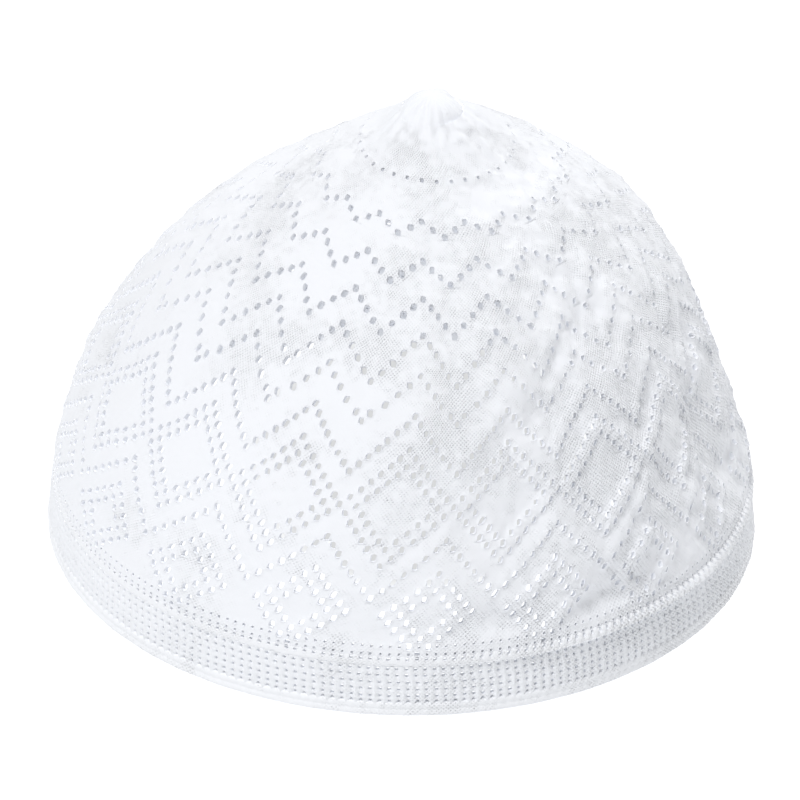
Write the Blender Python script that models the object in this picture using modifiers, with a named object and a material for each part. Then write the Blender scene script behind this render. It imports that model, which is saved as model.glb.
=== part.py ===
"""A lace-knitted kufi, or skull cap, standing on its rim.

Units are metres, +Z is up and the rim stands on z = 0. The cap's longer side runs front to back along Y.
From the bottom up it is a rolled hem, a ribbed band, a raised picot ridge, the lace crown and the gathered tip.

Every piece starts as a shape turned about Z. lay_on_cap then moves its points on to the real cap, which is
oval, leans to the right near its top, and has slanting knitted columns. The crown also gets its dents and gathers.
"""

import math
from typing import NamedTuple

import bmesh
import bpy
import numpy as np

# The rim, measured from the centre of the cap to the outside of the hem.
HALF_WIDTH = 0.0889
HALF_LENGTH = 0.0929
RIM_SKEW = 0.0027  # how far forward the right-hand end of the rim lies
CAP_HEIGHT = 0.1212  # where the crown's curve would close

SEAM = 0.0003  # clearance between neighbouring pieces
REPEATS = 17  # repeats of the lace pattern round the cap
CELLS_A_REPEAT = 4
ROUND = REPEATS * CELLS_A_REPEAT
PATTERN_TURN = 7.0  # degrees from the right-hand end of the rim to the pattern's first repeat

HEM_HEIGHT = 0.0033
HEM_ROLLS = 2
HEM_WALL = 0.0028
ROLL_POINTS = 3
HEM_PROUD = 0.0004  # how far the rolls stand out past the band

BAND_TOP = 0.0130
BAND_WALL = 0.0019
RIBS = 7 * REPEATS
RIB_DEPTH = 0.0004

RIDGE_TOP = 0.0152
RIDGE_PROUD = 0.0008
RIDGE_SLANT = 0.0005  # how much lower the inner edge of its top lies, under the crown's leaning foot

CROWN_WALL = 0.0016
CROWN_FOOT = 0.0156
CROWN_TOP = 0.1208
CROWN_COURSES = 20
GAP_MARGIN = 0.0021  # cloth left round each gap
GATHERS = REPEATS
GATHER_DEPTH = 0.0007
GATHER_REACH = 0.014  # how far the gathers run down from the tip
DENT_FADE = 0.008  # the dents die out over this height above the crown's foot

TIP_TOP = 0.1246
TIP_RADIUS = 0.0066
TIP_STEPS = 24
TIP_LOBES = 6
TIP_LOBE_DEPTH = 0.0004


class Section(NamedTuple):
    """One level of the cap's outer surface."""

    height: float  # share of CAP_HEIGHT
    width: float  # share of the rim's half-width
    aside: float  # centre's shift to the right
    lean: float  # degrees that the knitted columns have turned about Z


SECTIONS = (
    Section(0.00, 1.000, 0.0000, -1.8),
    Section(0.13, 0.981, 0.0000, -1.8),
    Section(0.30, 0.923, 0.0000, 2.1),
    Section(0.50, 0.808, 0.0020, 5.3),
    Section(0.68, 0.627, 0.0076, 2.7),
    Section(0.82, 0.400, 0.0097, -1.1),
    Section(0.92, 0.220, 0.0090, -5.0),
    Section(1.00, 0.077, 0.0075, -8.0),
)


class Dent(NamedTuple):
    """A soft hollow in the crown, or a swelling where the depth is negative."""

    azimuth: float  # degrees, -90 at the front and 0 at the right
    height: float
    half_angle: float  # degrees
    half_height: float
    depth: float


DENTS = (
    Dent(-93.0, 0.0215, 8.0, 0.0050, 0.0008),
    Dent(-74.0, 0.0230, 7.0, 0.0055, 0.0014),
    Dent(-53.0, 0.0225, 7.0, 0.0055, 0.0016),
    Dent(-18.0, 0.0300, 8.0, 0.0080, 0.0016),
    Dent(-45.0, 0.0300, 6.0, 0.0080, -0.0008),
    Dent(-22.0, 0.0495, 8.0, 0.0090, 0.0018),
    Dent(-72.0, 0.0530, 6.0, 0.0085, 0.0018),
    Dent(-62.0, 0.0710, 6.0, 0.0085, 0.0014),
    Dent(-49.0, 0.0850, 7.0, 0.0085, 0.0022),
    Dent(-18.0, 0.1110, 34.0, 0.0060, 0.0018),
    Dent(180.0, 0.1150, 30.0, 0.0060, 0.0012),
    Dent(172.0, 0.0790, 28.0, 0.0100, -0.0013),
    Dent(172.0, 0.0600, 28.0, 0.0090, 0.0011),
)


class GapCourse(NamedTuple):
    """The cells left open in one course of the crown, counted up from its foot."""

    course: int
    cells: tuple[int, ...]  # within each repeat


DIAMOND_GAPS = (
    GapCourse(3, (0,)),
    GapCourse(4, (1, 3)),
    GapCourse(5, (2,)),
    GapCourse(6, (1, 3)),
    GapCourse(7, (0,)),
)


def monotone_curve(at: np.ndarray, knots: np.ndarray, values: np.ndarray) -> np.ndarray:
    """A smooth curve through the knots that never overshoots them (cubic Hermite, harmonic-mean slopes)."""
    step = np.diff(knots)
    rise = np.diff(values) / step
    slope = np.zeros_like(values)
    slope[0], slope[-1] = rise[0], rise[-1]
    turns = rise[:-1] * rise[1:] <= 0.0
    safe = np.where(turns, 1.0, rise[:-1] + rise[1:])
    slope[1:-1] = np.where(turns, 0.0, 2.0 * rise[:-1] * rise[1:] / safe)
    i = np.clip(np.searchsorted(knots, at, side="right") - 1, 0, len(step) - 1)
    t = np.clip((at - knots[i]) / step[i], 0.0, 1.0)
    start = values[i] * (1 + 2 * t) * (1 - t) ** 2 + values[i + 1] * t**2 * (3 - 2 * t)
    return start + step[i] * (slope[i] * t * (1 - t) ** 2 - slope[i + 1] * t**2 * (1 - t))


def section_value(field: str, height: np.ndarray | float) -> np.ndarray:
    """One column of SECTIONS, read at these heights in metres."""
    shares = np.array([section.height for section in SECTIONS])
    values = np.array([getattr(section, field) for section in SECTIONS])
    return monotone_curve(np.atleast_1d(height) / CAP_HEIGHT, shares, values)


def wall_radius(height: float) -> float:
    """The outside of the cap at this height, measured to the right from its centre."""
    return HALF_WIDTH * float(section_value("width", height)[0])


def read_points(mesh: bpy.types.Mesh) -> np.ndarray:
    points = np.empty(len(mesh.vertices) * 3, np.float32)
    mesh.vertices.foreach_get("co", points)
    return points.reshape(-1, 3).astype(np.float64)


def write_points(mesh: bpy.types.Mesh, points: np.ndarray) -> None:
    mesh.vertices.foreach_set("co", points.astype(np.float32).ravel())
    mesh.update()


def turn(name: str, profile: list[tuple[float, float]], steps: int, ring: bool) -> bpy.types.Mesh:
    """Turn a profile of (radius, height) points about Z. It runs down its outer side; a ring's profile is a loop."""
    count = len(profile)
    edges = [(i, i + 1) for i in range(count - 1)]
    if ring:
        edges.append((count - 1, 0))
    outline = bpy.data.meshes.new(name + "_profile")
    outline.from_pydata([(radius, 0.0, height) for radius, height in profile], edges, [])
    blank = bpy.data.objects.new(name + "_profile", outline)
    bpy.context.scene.collection.objects.link(blank)
    screw = blank.modifiers.new("turn", "SCREW")
    screw.axis = "Z"
    screw.angle = math.tau
    screw.steps = steps
    screw.render_steps = steps
    screw.use_merge_vertices = True
    screw.merge_threshold = 0.00001
    graph = bpy.context.evaluated_depsgraph_get()
    turned = bpy.data.meshes.new_from_object(blank.evaluated_get(graph))
    turned.name = name
    bpy.data.objects.remove(blank)
    return turned


def lay_on_cap(mesh: bpy.types.Mesh) -> None:
    """Move turned points on to the oval, leaning cap: each level is turned, stretched, skewed and shifted."""
    points = read_points(mesh)
    height = points[:, 2]
    radius = np.hypot(points[:, 0], points[:, 1])
    turned = np.radians(PATTERN_TURN + section_value("lean", height))
    azimuth = np.arctan2(points[:, 1], points[:, 0]) + turned
    length_share = HALF_LENGTH / HALF_WIDTH
    skew_share = RIM_SKEW / HALF_WIDTH
    points[:, 0] = section_value("aside", height) + radius * np.cos(azimuth)
    across = length_share * np.sin(azimuth) - skew_share * np.cos(azimuth)
    points[:, 1] = radius * across
    write_points(mesh, points)


def wave_columns(mesh: bpy.types.Mesh, steps: int, depth: float, beyond: float) -> None:
    """Push every second column of a turned ring's outer points out by depth, which makes ribs."""
    points = read_points(mesh)
    radius = np.hypot(points[:, 0], points[:, 1])
    column = np.rint(np.arctan2(points[:, 1], points[:, 0]) / (math.tau / steps)).astype(int)
    raised = (column % 2 == 0) & (radius > beyond)
    points[:, :2] *= np.where(raised, 1.0 + depth / radius, 1.0)[:, None]
    write_points(mesh, points)


def press_dents(mesh: bpy.types.Mesh) -> None:
    """Push the crown in along its normals at each dent, by a bell curve, and wave it at the gathers."""
    points = read_points(mesh)
    normals = np.empty(len(mesh.vertices) * 3, np.float32)
    mesh.vertex_normals.foreach_get("vector", normals)
    normals = normals.reshape(-1, 3).astype(np.float64)
    height = points[:, 2]
    aside = points[:, 0] - section_value("aside", height)
    azimuth = np.arctan2(points[:, 1] * HALF_WIDTH / HALF_LENGTH, aside)
    inwards = np.zeros(len(points))
    for dent in DENTS:
        off = (azimuth - math.radians(dent.azimuth) + math.pi) % math.tau - math.pi
        across = off / math.radians(dent.half_angle)
        upright = (height - dent.height) / dent.half_height
        inwards += dent.depth * np.exp(-(across**2) - upright**2)
    inwards *= np.clip((height - CROWN_FOOT) / DENT_FADE, 0.0, 1.0)
    near_tip = np.clip(1.0 - (CROWN_TOP - height) / GATHER_REACH, 0.0, 1.0)
    below_edge = np.clip((CROWN_TOP - height) / (0.2 * GATHER_REACH), 0.0, 1.0)
    inwards += GATHER_DEPTH * near_tip * below_edge * (1.0 + np.cos(GATHERS * azimuth))
    write_points(mesh, points - normals * inwards[:, None])


def open_diamond_gaps(mesh: bpy.types.Mesh, courses: list[float]) -> None:
    """Cut the lattice of diamonds: each charted cell is inset by its margin, and what is left is removed."""
    charted = {row.course: row.cells for row in DIAMOND_GAPS}
    cell_angle = math.tau / ROUND
    shape = bmesh.new()
    shape.from_mesh(mesh)
    pierced = []
    for face in shape.faces:
        middle = face.calc_center_median()
        course = int(np.searchsorted(courses, middle.z)) - 1
        cell = math.floor(math.atan2(middle.y, middle.x) / cell_angle) % CELLS_A_REPEAT
        if cell in charted.get(course, ()):
            pierced.append(face)
    bmesh.ops.inset_individual(shape, faces=pierced, thickness=GAP_MARGIN, use_even_offset=True)
    bmesh.ops.delete(shape, geom=pierced, context="FACES")
    shape.to_mesh(mesh)
    shape.free()


def knit_material(name: str, shade: float, roughness: float) -> bpy.types.Material:
    """Matt white yarn, a touch cool."""
    material = bpy.data.materials.new(name)
    material.use_nodes = True
    surface = material.node_tree.nodes["Principled BSDF"]
    surface.inputs["Base Color"].default_value = (shade, shade, shade * 1.02, 1.0)
    surface.inputs["Roughness"].default_value = roughness
    surface.inputs["Metallic"].default_value = 0.0
    return material


def add_piece(mesh: bpy.types.Mesh, material: bpy.types.Material, cap: bpy.types.Collection) -> bpy.types.Object:
    """Put a finished mesh in the cap's collection under its own name, smooth but for its real edges."""
    mesh.materials.append(material)
    mesh.shade_smooth()
    mesh.set_sharp_from_angle(angle=math.radians(40.0))
    piece = bpy.data.objects.new(mesh.name, mesh)
    cap.objects.link(piece)
    return piece


def make_hem(cap: bpy.types.Collection) -> None:
    """Two rolls of cloth, one on the other, with a flat foot."""
    roll = 0.5 * HEM_HEIGHT / HEM_ROLLS
    axis_radius = HALF_WIDTH - roll
    inner_radius = HALF_WIDTH - HEM_WALL
    profile = [(inner_radius, HEM_HEIGHT)]
    for count in range(HEM_ROLLS):
        middle = HEM_HEIGHT - roll * (2 * count + 1)
        first = 90.0 if count == 0 else 50.0
        last = -90.0 if count == HEM_ROLLS - 1 else -50.0
        for angle in np.radians(np.linspace(first, last, ROLL_POINTS)):
            profile.append((axis_radius + roll * math.cos(angle), middle + roll * math.sin(angle)))
    profile.append((inner_radius, 0.0))
    mesh = turn("hem", profile, ROUND, ring=True)
    lay_on_cap(mesh)
    add_piece(mesh, knit_material("hem_knit", 0.90, 0.85), cap)


def make_band(cap: bpy.types.Collection) -> None:
    """The ribbed band, one rib for two knitted ones."""
    foot = HEM_HEIGHT + SEAM
    low = wall_radius(foot) - HEM_PROUD - RIB_DEPTH
    high = wall_radius(BAND_TOP) - HEM_PROUD - RIB_DEPTH
    profile = [(high, BAND_TOP), (low, foot), (low - BAND_WALL, foot), (high - BAND_WALL, BAND_TOP)]
    mesh = turn("band", profile, 2 * RIBS, ring=True)
    wave_columns(mesh, 2 * RIBS, RIB_DEPTH, high - 0.5 * BAND_WALL)
    lay_on_cap(mesh)
    add_piece(mesh, knit_material("band_knit", 0.88, 0.88), cap)


def make_ridge(cap: bpy.types.Collection) -> None:
    """The raised row of loops between the band and the crown."""
    foot = BAND_TOP + SEAM
    wall = wall_radius(RIDGE_TOP)
    crest = 0.5 * (foot + RIDGE_TOP)
    profile = [
        (wall, RIDGE_TOP),
        (wall + RIDGE_PROUD, crest),
        (wall, foot),
        (wall - CROWN_WALL, foot),
        (wall - CROWN_WALL, RIDGE_TOP - RIDGE_SLANT),
    ]
    mesh = turn("picot_ridge", profile, ROUND, ring=True)
    lay_on_cap(mesh)
    add_piece(mesh, knit_material("ridge_knit", 0.91, 0.85), cap)


def make_crown(cap: bpy.types.Collection) -> None:
    """The lace dome: an even net of cells turned about Z, pierced, laid on the cap, dented and thickened inwards."""
    fine = np.linspace(CROWN_FOOT, CROWN_TOP, 400)
    radii = HALF_WIDTH * section_value("width", fine)
    run = np.concatenate([[0.0], np.cumsum(np.hypot(np.diff(radii), np.diff(fine)))])
    courses = np.interp(np.linspace(0.0, run[-1], CROWN_COURSES + 1), run, fine)
    profile = [(wall_radius(height), float(height)) for height in courses[::-1]]
    mesh = turn("crown", profile, ROUND, ring=False)
    open_diamond_gaps(mesh, list(courses))
    lay_on_cap(mesh)
    press_dents(mesh)
    crown = add_piece(mesh, knit_material("crown_knit", 0.90, 0.88), cap)
    wall = crown.modifiers.new("wall", "SOLIDIFY")
    wall.thickness = CROWN_WALL
    wall.offset = -1.0
    wall.use_even_offset = True


def make_tip(cap: bpy.types.Collection) -> None:
    """The nub where the last stitches are drawn together, closing the crown."""
    foot = CROWN_TOP + SEAM
    rise = TIP_TOP - foot
    angles = np.radians(np.linspace(90.0, 0.0, 6))
    profile = [(TIP_RADIUS * math.cos(a) ** 0.8, foot + rise * math.sin(a)) for a in angles[1:]]
    profile = [(0.0, TIP_TOP), *profile, (0.0, foot)]
    mesh = turn("tip", profile, TIP_STEPS, ring=False)
    points = read_points(mesh)
    azimuth = np.arctan2(points[:, 1], points[:, 0])
    radius = np.hypot(points[:, 0], points[:, 1])
    lobes = 1.0 - TIP_LOBE_DEPTH / TIP_RADIUS * (1.0 + np.cos(TIP_LOBES * azimuth))
    points[:, :2] *= np.where(radius > 0.0, lobes, 1.0)[:, None]
    write_points(mesh, points)
    lay_on_cap(mesh)
    add_piece(mesh, knit_material("tip_knit", 0.91, 0.85), cap)


def main() -> None:
    for old in list(bpy.data.objects):
        bpy.data.objects.remove(old)
    cap = bpy.data.collections.new("kufi")
    bpy.context.scene.collection.children.link(cap)
    make_hem(cap)
    make_band(cap)
    make_ridge(cap)
    make_crown(cap)
    make_tip(cap)


if __name__ == "__main__":
    main()
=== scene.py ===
"""A lace-knitted kufi, or skull cap, resting on its rim on a pale floor.

Units are metres, +Z is up, the rim stands on z = 0 and the front faces -Y. A place on the cloth is named by its
phase, counted in repeats of the lace pattern round the cap, and by its run, the distance up the wall from the rim.
The cloth is made of cells, each one eyelet wide and one eyelet high, and a chart says which cells are pierced.
"""

import logging
import math
from dataclasses import dataclass
from enum import Enum

import bpy
import numpy as np
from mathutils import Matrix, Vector


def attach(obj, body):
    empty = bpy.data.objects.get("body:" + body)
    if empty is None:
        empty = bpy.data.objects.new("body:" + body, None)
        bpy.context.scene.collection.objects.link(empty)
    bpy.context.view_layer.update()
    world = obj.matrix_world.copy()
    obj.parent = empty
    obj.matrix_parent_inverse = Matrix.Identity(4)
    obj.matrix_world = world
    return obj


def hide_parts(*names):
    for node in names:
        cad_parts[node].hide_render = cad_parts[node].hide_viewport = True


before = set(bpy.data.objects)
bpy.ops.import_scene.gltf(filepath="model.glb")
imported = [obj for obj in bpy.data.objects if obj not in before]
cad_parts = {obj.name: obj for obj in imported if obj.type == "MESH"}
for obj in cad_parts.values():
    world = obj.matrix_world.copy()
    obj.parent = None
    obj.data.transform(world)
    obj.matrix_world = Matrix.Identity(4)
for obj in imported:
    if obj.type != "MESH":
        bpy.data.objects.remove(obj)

Array = np.ndarray
LOG = logging.getLogger("kufi")
REPEATS = 17  # repeats of the lace pattern round the cap
COLUMNS = 14  # eyelets side by side in one repeat
STITCH = 0.00103  # height of a knitted stitch


@dataclass(frozen=True)
class RimSizes:
    """The rim's outline, and the height at which the dome's curve would close."""

    half_width: float = 0.0889
    half_length: float = 0.0929
    skew: float = 0.0027
    height: float = 0.1212
    first_repeat: float = -6.18  # degrees from the front to the start of the first repeat


@dataclass(frozen=True)
class Section:
    """One level of the cap's outer surface."""

    height: float  # share of the full height
    width: float  # share of the rim's half-width
    aside: float  # shift of its centre to the right
    lean: float  # degrees that the knitted columns have turned


@dataclass(frozen=True)
class Dent:
    """A soft hollow in the crown, or a swelling where the depth is negative."""

    azimuth: float  # degrees, -90 at the front and 0 at the right
    height: float
    half_angle: float
    half_height: float
    depth: float


@dataclass(frozen=True)
class Pinch:
    """A place where the knitted columns are drawn together."""

    phase: float
    run: float
    half_phase: float
    half_run: float
    amount: float  # how far a column a quarter of a repeat off the middle moves, in repeats

    def drawn(self, phase: Array, run: Array) -> Array:
        """Find how far the columns move towards the middle.

        Args:
            phase: place round the cap, in repeats.
            run: place up the wall.

        Returns:
            Distances in repeats, in proportion to the distance off the middle, times a bell curve.
        """
        off = (phase - self.phase + 0.5 * REPEATS) % REPEATS - 0.5 * REPEATS
        share = np.exp(-((off / self.half_phase) ** 2) - ((run - self.run) / self.half_run) ** 2)
        return self.amount * off / 0.25 * share


PINCH = Pinch(0.25, 0.092, 0.35, 0.028, 0.08)

SECTIONS = (
    Section(0.00, 1.000, 0.0000, -1.8),
    Section(0.13, 0.981, 0.0000, -1.8),
    Section(0.30, 0.923, 0.0000, 2.1),
    Section(0.50, 0.808, 0.0020, 5.3),
    Section(0.68, 0.627, 0.0076, 2.7),
    Section(0.82, 0.400, 0.0097, -1.1),
    Section(0.92, 0.220, 0.0090, -5.0),
    Section(1.00, 0.077, 0.0075, -8.0),
)

DENTS = (
    Dent(-93.0, 0.0215, 8.0, 0.0050, 0.0008),
    Dent(-74.0, 0.0230, 7.0, 0.0055, 0.0022),
    Dent(-53.0, 0.0225, 7.0, 0.0055, 0.0028),
    Dent(-18.0, 0.0290, 8.0, 0.0080, 0.0022),
    Dent(-45.0, 0.0300, 6.0, 0.0080, -0.0008),
    Dent(-20.0, 0.0480, 8.0, 0.0095, 0.0028),
    Dent(-68.5, 0.0505, 7.0, 0.0095, 0.0028),
    Dent(-58.5, 0.0685, 7.0, 0.0095, 0.0030),
    Dent(-46.0, 0.0825, 8.0, 0.0095, 0.0034),
    Dent(-18.0, 0.1110, 34.0, 0.0060, 0.0013),
    Dent(180.0, 0.1150, 30.0, 0.0060, 0.0012),
    Dent(172.0, 0.0790, 28.0, 0.0100, -0.0013),
    Dent(172.0, 0.0600, 28.0, 0.0090, 0.0011),
)

CREASED_AT = (  # azimuth and height of each small hollow on the creased right side
    (-50.0, 0.0830),
    (-56.5, 0.0785),
    (-48.5, 0.0740),
    (-64.0, 0.0690),
    (-70.5, 0.0665),
    (-75.0, 0.0590),
    (-77.0, 0.0480),
    (-35.5, 0.0440),
    (-13.0, 0.0300),
    (-43.5, 0.0265),
)
CRUMPLES = tuple(Dent(azimuth, height, 3.2, 0.0042, 0.0011) for azimuth, height in CREASED_AT)


@dataclass(frozen=True)
class Zigzag:
    """A zigzag line of eyelets: its tops lie at whole phases and its bottoms half a repeat on."""

    top: float  # run at its tops
    bottom: float


ZIGZAGS = (
    Zigzag(0.0768, 0.0624),
    Zigzag(0.0870, 0.0755),
    Zigzag(0.0968, 0.0853),
    Zigzag(0.1065, 0.0976),
    Zigzag(0.1164, 0.1103),
    Zigzag(0.1267, 0.1231),
)

ZONE_EDGES = np.array([0.04489, 0.07784, 0.0980, 0.1093, 0.1222, 0.1389])  # runs where two zones of cloth meet


def smooth_step(value: Array) -> Array:
    """Rise from 0 to 1 with the value, without a corner: three times its square less twice its cube."""
    share = np.clip(value, 0.0, 1.0)
    return share * share * (3.0 - 2.0 * share)


def bell(value: Array) -> Array:
    """Fall away from 1 on both sides of 0: the exponential of the square's negative."""
    return np.exp(-(value**2))


def half_turn(angle: Array) -> Array:
    """Bring angles in radians between minus half a turn and half a turn."""
    return (angle + math.pi) % math.tau - math.pi


def monotone_curve(at: Array, knots: Array, values: Array) -> Array:
    """Read a smooth curve through knots that never overshoots them.

    Args:
        at: where to read it.
        knots: rising places of the known values.
        values: the known values.

    Returns:
        A cubic Hermite curve whose slope at a knot is the harmonic mean of the slopes on its two sides.
    """
    step = np.diff(knots)
    rise = np.diff(values) / step
    slope = np.zeros_like(values)
    slope[0], slope[-1] = rise[0], rise[-1]
    turns = rise[:-1] * rise[1:] <= 0.0
    safe = np.where(turns, 1.0, rise[:-1] + rise[1:])
    slope[1:-1] = np.where(turns, 0.0, 2.0 * rise[:-1] * rise[1:] / safe)
    i = np.clip(np.searchsorted(knots, at, side="right") - 1, 0, len(step) - 1)
    t = np.clip((at - knots[i]) / step[i], 0.0, 1.0)
    start = values[i] * (1 + 2 * t) * (1 - t) ** 2 + values[i + 1] * t**2 * (3 - 2 * t)
    return start + step[i] * (slope[i] * t * (1 - t) ** 2 - slope[i + 1] * t**2 * (1 - t))


@dataclass(frozen=True)
class Swell:
    """A size that changes towards the creased right side."""

    usual: float
    added: float  # in the middle of the right side

    def at(self, right_side: Array) -> Array:
        """Read it at places whose shares of the right side are given."""
        return self.usual + self.added * right_side


class CapForm:
    """The cap's outer form, which every piece of cloth but the nub at the tip is laid on."""

    LEVELS = 1500  # heights at which the wall is measured
    WAVES = 14  # waves in each set
    SLIDES = (0.008, 0.017)  # how far the columns slide round the oval, in radians
    RIGHT_MIDDLE, RIGHT_HALF = -0.55, 0.8  # azimuth and half-width of the creased side, in radians
    RISING, FALLING = Swell(0.00030, 0.00095), Swell(0.00026, 0.00020)  # heights of the pattern's ridges
    SLOW, QUICK = Swell(0.00006, 0.00007), Swell(0.000008, 0.000052)  # heights of the waves
    CALM = 0.0022  # distance from a zone's edge over which the quick waves grow
    FOOT, FOOT_FADE = 0.0160, 0.008  # run of the crown's foot, and how far up from it the relief grows
    GROOVE, GROOVE_HALF = Swell(0.00040, -0.00025), 0.0016  # the hollow along the foot
    GATHER_TOP, GATHER_REACH, GATHER_DEPTH = 0.1208, 0.014, 0.0003
    DIAMOND_HALF, ZIGZAG_HALF = 1.2, 1.3  # half-widths of the ridges in the diamonds' zone, in courses
    ABOVE, ABOVE_HALF = 0.0022, 0.0027  # how far over a zigzag its ridge lies, and the ridge's half-width

    def __init__(self, rim: RimSizes) -> None:
        """Measure the run up the wall once, and choose the waves.

        Args:
            rim: the rim's sizes.
        """
        self.rim = rim
        self._shares = np.array([section.height for section in SECTIONS])
        self._heights = np.linspace(0.0, rim.height, self.LEVELS)
        mean_radius = 0.5 * (rim.half_width + rim.half_length)
        self._radii = mean_radius * self.section_value("width", self._heights)
        steps = np.hypot(np.diff(self._radii), np.diff(self._heights))
        self._runs = np.concatenate([[0.0], np.cumsum(steps)])
        self._slow = self._wave_set(11, 0.007, 0.026)
        self._quick = self._wave_set(12, 0.0030, 0.0065)

    @classmethod
    def _wave_set(cls, seed: int, shortest: float, longest: float) -> tuple[Array, Array]:
        """Choose some plane waves.

        Args:
            seed: start of the random numbers.
            shortest: the shortest wavelength.
            longest: the longest wavelength.

        Returns:
            The waves' vectors and their starts.
        """
        random = np.random.default_rng(seed)
        vectors = random.normal(size=(cls.WAVES, 3))
        turns = math.tau / np.linspace(shortest, longest, cls.WAVES)
        vectors *= (turns / np.linalg.norm(vectors, axis=1))[:, None]
        return vectors, random.uniform(0.0, math.tau, cls.WAVES)

    def section_value(self, field: str, height: Array) -> Array:
        """Read one column of the table of sections, by its name, at heights in metres."""
        values = np.array([getattr(section, field) for section in SECTIONS])
        return monotone_curve(height / self.rim.height, self._shares, values)

    def height_at(self, run: Array) -> Array:
        """Turn runs up the wall into heights above the floor."""
        return np.interp(run, self._runs, self._heights)

    def repeat_width(self, run: Array) -> Array:
        """Measure a repeat at runs up the wall: the circle's length there over the number of repeats."""
        return math.tau * np.interp(run, self._runs, self._radii) / REPEATS

    def surface(self, phase: Array, run: Array) -> Array:
        """Place points on the smooth outer surface.

        Args:
            phase: place round the cap, in repeats.
            run: place up the wall.

        Returns:
            Points. Each level is an oval ring, a little skewed, shifted aside and turned by its lean. The pinch
            moves the columns towards its middle.
        """
        rim = self.rim
        phase = phase - PINCH.drawn(phase, run)
        height = self.height_at(run)
        radius = rim.half_width * self.section_value("width", height)
        turn = np.radians(rim.first_repeat + self.section_value("lean", height)) + phase * (math.tau / REPEATS)
        slide = self.SLIDES
        angle = turn - 0.5 * math.pi + slide[0] * np.sin(2.0 * turn) - slide[1] * (1.0 - np.cos(2.0 * turn))
        across = self.section_value("aside", height) + radius * np.cos(angle)
        oval = rim.half_length / rim.half_width * np.sin(angle) - rim.skew / rim.half_width * np.cos(angle)
        return np.stack([across, radius * oval, height], axis=-1)

    def lay(self, phase: Array, run: Array, out: Array) -> Array:
        """Place points a given distance off the smooth outer surface.

        Args:
            phase: place round the cap, in repeats.
            run: place up the wall.
            out: distance outwards along the surface's normal.

        Returns:
            Points. The normal is the cross product of the directions round the cap and up the wall.
        """
        nudge = 0.0004
        round_it = self.surface(phase + nudge, run) - self.surface(phase - nudge, run)
        up_it = self.surface(phase, run + nudge) - self.surface(phase, run - nudge)
        normal = np.cross(round_it, up_it)
        normal /= np.linalg.norm(normal, axis=-1, keepdims=True)
        return self.surface(phase, run) + normal * np.asarray(out)[..., None]

    def azimuth(self, points: Array) -> Array:
        """Find the points' directions from the cap's axis in radians, minus a quarter turn in front, 0 at the right."""
        aside = points[..., 0] - self.section_value("aside", points[..., 2])
        return np.arctan2(points[..., 1] * self.rim.half_width / self.rim.half_length, aside)

    def right_side(self, azimuth: Array) -> Array:
        """Find how much directions in radians belong to the creased right side, by a bell curve."""
        return bell(half_turn(azimuth - self.RIGHT_MIDDLE) / self.RIGHT_HALF)

    def relief(self, phase: Array, run: Array) -> Array:
        """Find how far the crown's cloth stands off the smooth surface.

        Args:
            phase: place round the cap, in repeats.
            run: place up the wall.

        Returns:
            Distances outwards: less the dents and crumples, which are bell curves, and the gathers, plus the pattern's
            ridges and two sums of waves that make the cloth uneven. The quick waves die out where two zones meet.
            All but the gathers grows up from the foot, which has a groove of its own.
        """
        points = self.surface(phase, run)
        height = points[..., 2]
        azimuth = self.azimuth(points)
        out = np.zeros_like(run)
        for dent in DENTS + CRUMPLES:
            across = half_turn(azimuth - math.radians(dent.azimuth)) / math.radians(dent.half_angle)
            upright = (height - dent.height) / dent.half_height
            out -= dent.depth * np.exp(-(across**2) - upright**2)
        right_side = self.right_side(azimuth)
        rising, falling = self._pattern_ridges(phase, run)
        out += self.RISING.at(right_side) * rising + self.FALLING.at(right_side) * falling
        slow, quick = (np.sin(points @ waves.T + starts).sum(axis=-1) for waves, starts in (self._slow, self._quick))
        out += self.SLOW.at(right_side) * slow
        from_zone_edge = np.abs(run[..., None] - ZONE_EDGES).min(axis=-1)
        out += smooth_step(from_zone_edge / self.CALM) * self.QUICK.at(right_side) * quick
        out *= smooth_step((run - self.FOOT) / self.FOOT_FADE)
        out -= self.GROOVE.at(right_side) * bell((run - self.FOOT) / self.GROOVE_HALF)
        near_tip = np.clip(1.0 - (self.GATHER_TOP - height) / self.GATHER_REACH, 0.0, 1.0)
        return out - self.GATHER_DEPTH * near_tip * (1.0 + np.cos(REPEATS * azimuth))

    @classmethod
    def _pattern_ridges(cls, phase: Array, run: Array) -> tuple[Array, Array]:
        """Raise the cloth between the two lines of each diamond and just above each zigzag.

        Args:
            phase: place round the cap, in repeats.
            run: place up the wall.

        Returns:
            The ridges that rise to the right and those that fall to the right, 1 on a ridge and 0 away from it.
            Across a ridge they are bell curves.
        """
        half = 0.5 * COLUMNS
        aside = COLUMNS * (phase - np.round(phase))
        from_top = np.abs(aside)
        from_bottom = half - from_top
        course = (run - LaceChart.ROW_ZERO) / LaceChart.COURSE
        over_big, over_small = course - LaceChart.BIG_MIDDLE, course - LaceChart.SMALL_MIDDLE
        big = bell((from_top + np.abs(over_big) - 6.0) / cls.DIAMOND_HALF)
        small = bell((from_bottom + np.abs(over_small) - 4.0) / cls.DIAMOND_HALF)
        zigzags = 0.7 * bell((course + 4.0 - from_top - 1.0) / cls.ZIGZAG_HALF)
        before_top = smooth_step(0.5 - 0.6 * aside)
        rising = big * smooth_step(0.5 + 0.25 * over_big * np.sign(-aside))
        rising += small * smooth_step(0.5 + 0.25 * over_small * np.sign(aside)) + zigzags * (1.0 - before_top)
        falling = big + small + zigzags - rising
        for zigzag in ZIGZAGS:
            line = zigzag.bottom + (zigzag.top - zigzag.bottom) * (1.0 - from_top / half)
            ridge = 0.8 * bell((run - line - cls.ABOVE) / cls.ABOVE_HALF)
            rising += ridge * before_top
            falling += ridge * (1.0 - before_top)
        return rising, falling


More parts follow.
